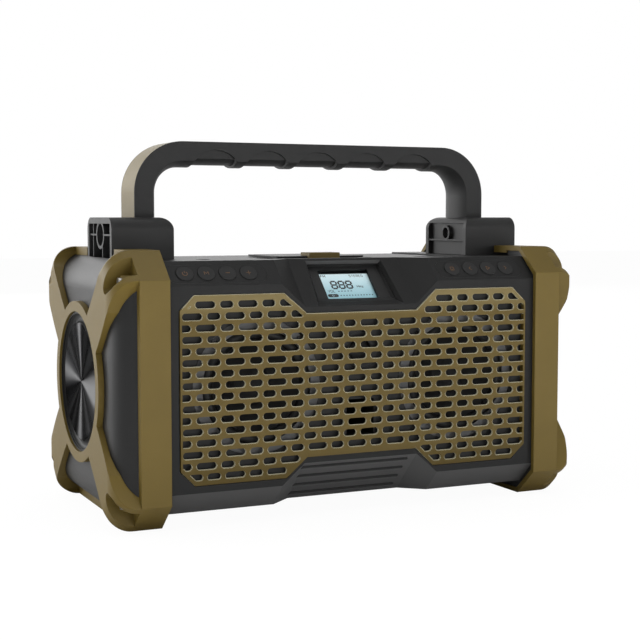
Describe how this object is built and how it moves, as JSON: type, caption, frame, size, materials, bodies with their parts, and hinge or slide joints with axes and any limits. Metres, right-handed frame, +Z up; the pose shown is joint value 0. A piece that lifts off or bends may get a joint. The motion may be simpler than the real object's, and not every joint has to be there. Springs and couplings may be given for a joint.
{
  "type": "jobsite radio",
  "caption": "Rugged jobsite radio: slotted tan grille over speakers, corner-cut tan end guards, angled display, round keys, top port lid and a fixed carrying handle",
  "frame": {"origin": "centre of the footprint, on the plane the radio stands on", "axes": "X along the length, from the left end to the right as seen from the front; Y from front to back; Z up"},
  "size_m": [0.3666, 0.19, 0.2673],
  "materials": {
    "guard": "fine moulded texture, warm tan",
    "strip": "smooth tan inlay",
    "grille": "tan powder coat",
    "housing": "fine moulded texture, charcoal",
    "grip": "soft matt charcoal",
    "black_plastic": "black",
    "key": "matt rubber with small symbols",
    "soft_rubber": "soft rubber roll",
    "cone": "coated speaker cone",
    "driver_steel": "grey painted steel",
    "radiator_metal": "spun and brushed",
    "display_glass": "clear",
    "display_panel": null,
    "circuit": "green solder mask",
    "cells": "shrink sleeve",
    "fasteners": "zinc plated"
  },
  "bodies": {
    "radio_body": {"bass_port": "black_plastic", "battery_cells": "cells", "battery_cradle": "black_plastic", "cap_screws": "fasteners", "display_bezel": "black_plastic", "display_panel": "display_panel", "display_window": "display_glass", "foot_screws": "fasteners", "front_grille": "grille", "front_housing": "housing", "guard_screws": "fasteners", "handle_bolts": "fasteners", "handle_grip": "grip", "handle_strip": "strip", "heat_sink": "radiator_metal", "housing_screws": "fasteners", "left_end_cap": "housing", "left_guard": "guard", "left_handle_foot": "housing", "left_key_board": "circuit", "left_key_plate": "housing", "left_radiator_frame": "black_plastic", "left_radiator_surround": "soft_rubber", "left_woofer_basket": "driver_steel", "left_woofer_magnet": "driver_steel", "left_woofer_surround": "soft_rubber", "lid_hinge_pin": "fasteners", "main_board": "circuit", "port_sockets": "fasteners", "port_tray": "black_plastic", "rear_housing": "housing", "right_end_cap": "housing", "right_guard": "guard", "right_handle_foot": "housing", "right_key_board": "circuit", "right_key_plate": "housing", "right_radiator_frame": "black_plastic", "right_radiator_surround": "soft_rubber", "right_woofer_basket": "driver_steel", "right_woofer_magnet": "driver_steel", "right_woofer_surround": "soft_rubber", "speaker_baffle": "black_plastic", "speaker_screws": "fasteners", "top_screws": "fasteners", "tweeter_dome": "cone", "tweeter_frame": "black_plastic"},
    "lid": {"port_lid": "housing"},
    "latch": {"lid_latch": "strip"},
    "left_disc": {"left_radiator": "radiator_metal"},
    "right_disc": {"right_radiator": "radiator_metal"},
    "left_cone": {"left_woofer_cone": "cone"},
    "right_cone": {"right_woofer_cone": "cone"},
    "button_power": {"key_power": "key"},
    "button_mode": {"key_mode": "key"},
    "button_minus": {"key_minus": "key"},
    "button_plus": {"key_plus": "key"},
    "button_source": {"key_source": "key"},
    "button_previous": {"key_previous": "key"},
    "button_play": {"key_play": "key"},
    "button_next": {"key_next": "key"}
  },
  "joints": [
    {"name": "key_power_press", "type": "slide", "parent": "radio_body", "child": "button_power", "axis": [0, 0.7071, -0.7071], "range_m": [0, 0.0012], "stiffness_N_per_m": 400},
    {"name": "key_mode_press", "type": "slide", "parent": "radio_body", "child": "button_mode", "axis": [0, 0.7071, -0.7071], "range_m": [0, 0.0012], "stiffness_N_per_m": 400},
    {"name": "key_minus_press", "type": "slide", "parent": "radio_body", "child": "button_minus", "axis": [0, 0.7071, -0.7071], "range_m": [0, 0.0012], "stiffness_N_per_m": 400},
    {"name": "key_plus_press", "type": "slide", "parent": "radio_body", "child": "button_plus", "axis": [0, 0.7071, -0.7071], "range_m": [0, 0.0012], "stiffness_N_per_m": 400},
    {"name": "key_source_press", "type": "slide", "parent": "radio_body", "child": "button_source", "axis": [0, 0.7071, -0.7071], "range_m": [0, 0.0012], "stiffness_N_per_m": 400},
    {"name": "key_previous_press", "type": "slide", "parent": "radio_body", "child": "button_previous", "axis": [0, 0.7071, -0.7071], "range_m": [0, 0.0012], "stiffness_N_per_m": 400},
    {"name": "key_play_press", "type": "slide", "parent": "radio_body", "child": "button_play", "axis": [0, 0.7071, -0.7071], "range_m": [0, 0.0012], "stiffness_N_per_m": 400},
    {"name": "key_next_press", "type": "slide", "parent": "radio_body", "child": "button_next", "axis": [0, 0.7071, -0.7071], "range_m": [0, 0.0012], "stiffness_N_per_m": 400},
    {"name": "lid_hinge", "type": "hinge", "parent": "radio_body", "child": "lid", "pos_m": [0, 0.0385, 0.1817], "axis": [-1, 0, 0], "range_deg": [0, 95]},
    {"name": "latch_slide", "type": "slide", "parent": "lid", "child": "latch", "axis": [0, -1, 0], "range_m": [0, 0.002], "stiffness_N_per_m": 300},
    {"name": "left_disc_slide", "type": "slide", "parent": "radio_body", "child": "left_disc", "axis": [1, 0, 0], "range_m": [-0.0015, 0.0015], "stiffness_N_per_m": 900},
    {"name": "right_disc_slide", "type": "slide", "parent": "radio_body", "child": "right_disc", "axis": [1, 0, 0], "range_m": [-0.0015, 0.0015], "stiffness_N_per_m": 900},
    {"name": "left_cone_slide", "type": "slide", "parent": "radio_body", "child": "left_cone", "axis": [0, 1, 0], "range_m": [-0.002, 0.002], "stiffness_N_per_m": 1500},
    {"name": "right_cone_slide", "type": "slide", "parent": "radio_body", "child": "right_cone", "axis": [0, 1, 0], "range_m": [-0.002, 0.002], "stiffness_N_per_m": 1500}
  ]
}
